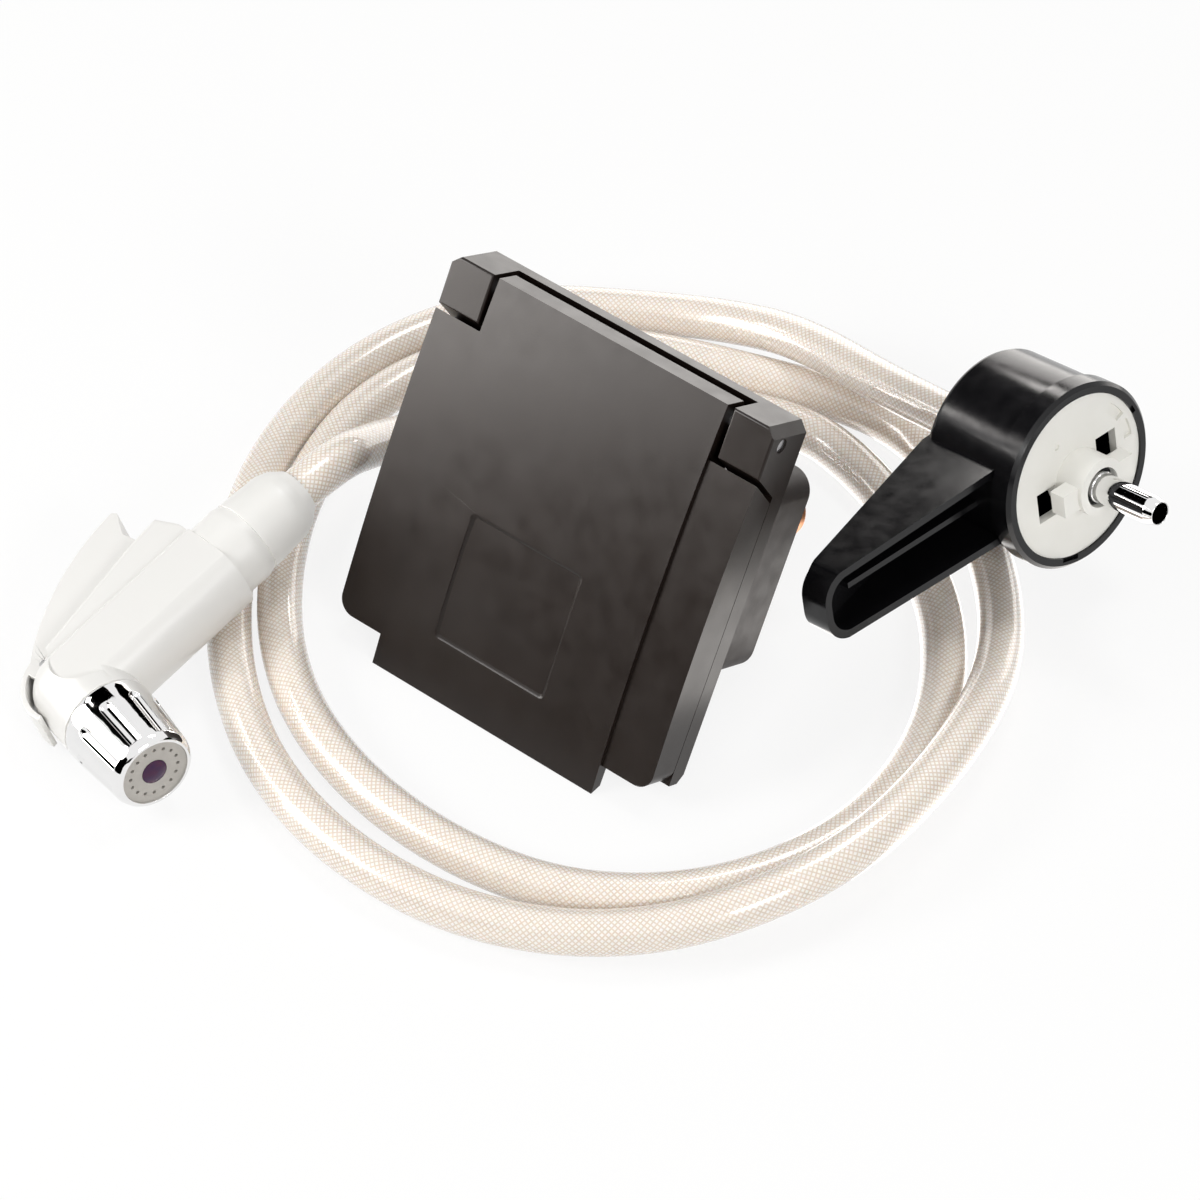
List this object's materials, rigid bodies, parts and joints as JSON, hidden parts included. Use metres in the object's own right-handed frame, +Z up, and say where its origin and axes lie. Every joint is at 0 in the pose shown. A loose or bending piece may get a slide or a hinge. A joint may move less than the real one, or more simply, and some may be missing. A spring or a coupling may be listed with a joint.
{
  "type": "external shower point",
  "caption": "External shower point: a lidded wall box with a mixer socket, a lever plug, a coiled braided hose and a trigger hand shower.",
  "frame": {"origin": "on the floor, under the middle of the box, plug and hand shower as they lie", "axes": "+Z up from the floor, +X from the hand shower to the plug, +Y away from the lid's side"},
  "size_m": [0.3684, 0.3009, 0.1219],
  "materials": {
    "box_plastic": "fine grain satin moulding",
    "tub_plastic": "plain moulding",
    "socket_plastic": "smooth moulding",
    "black_rubber": "soft seal",
    "steel": "plain stainless steel",
    "brass": "machined brass",
    "copper": "drawn copper, lightly dulled",
    "lever_plastic": "polished black moulding",
    "disc_plastic": "off-white moulding",
    "spigot_chrome": "polished plating",
    "hose_pvc": "clear hose with fine brown braid",
    "shower_plastic": "slightly translucent white moulding",
    "head_chrome": "polished plating",
    "rose_plastic": "grey moulding"
  },
  "bodies": {
    "wall_box_and_hose": {"wall_frame": "box_plastic", "rear_tub": "tub_plastic", "socket_plate": "tub_plastic", "lid_catch": "tub_plastic", "socket_ring": "socket_plastic", "lid_seal": "black_rubber", "wall_gasket": "black_rubber", "spigot_seals": "black_rubber", "tail_washer": "black_rubber", "head_gasket": "black_rubber", "hinge_pins": "steel", "plate_screws": "steel", "trigger_pin": "steel", "trigger_spring": "steel", "spigot_clip": "steel", "plug_ferrule": "steel", "hose_clamp": "steel", "mixer_body": "brass", "tail_nuts": "brass", "tail_olives": "brass", "valve_gland": "brass", "valve_seat": "brass", "plug_tail": "brass", "shower_tail": "brass", "hot_tail": "copper", "cold_tail": "copper", "spigot": "spigot_chrome", "hose": "hose_pvc", "shower_body": "shower_plastic", "neck_collar": "shower_plastic", "hose_nut": "shower_plastic", "head_shell": "head_chrome", "rose_plate": "rose_plastic", "rose_button": "rose_plastic"},
    "lid": {"lid": "box_plastic"},
    "lever": {"lever_shell": "lever_plastic", "bayonet_disc": "disc_plastic", "plug_bush": "lever_plastic"},
    "mixer": {"mixer_rotor": "socket_plastic", "rotor_seals": "black_rubber"},
    "trigger": {"trigger": "shower_plastic"},
    "stem": {"valve_stem": "brass", "valve_seal": "black_rubber"}
  },
  "joints": [
    {"name": "lid_hinge", "type": "hinge", "parent": "wall_box_and_hose", "child": "lid", "pos_m": [0.00791, 0.01905, 0.11318], "axis": [-0.7787, 0.6274, 0], "range_deg": [0, 110]},
    {"name": "lever_turn", "type": "hinge", "parent": "wall_box_and_hose", "child": "lever", "pos_m": [0.15737, 0.02408, 0.0545], "axis": [-0.6574, 0.7125, -0.2453], "range_deg": [0, 170]},
    {"name": "mixer_turn", "type": "hinge", "parent": "wall_box_and_hose", "child": "mixer", "pos_m": [0.00517, 0.01566, 0.04484], "axis": [0.5479, 0.68, -0.4873], "range_deg": [0, 170]},
    {"name": "trigger_press", "type": "hinge", "parent": "wall_box_and_hose", "child": "trigger", "pos_m": [-0.17386, -0.02945, 0.01402], "axis": [0.2681, 0.0876, -0.9594], "range_deg": [0, 7], "stiffness_Nm_per_rad": 1, "springref_deg": -11.46},
    {"name": "stem_slide", "type": "slide", "parent": "wall_box_and_hose", "child": "stem", "axis": [0.6679, -0.7346, 0.1195], "range_m": [0, 0.003], "deforming": ["trigger_spring"]}
  ],
  "couplings": [
    {"joint": "stem_slide", "follows": "trigger_press", "m_per_rad": 0.0238}
  ]
}
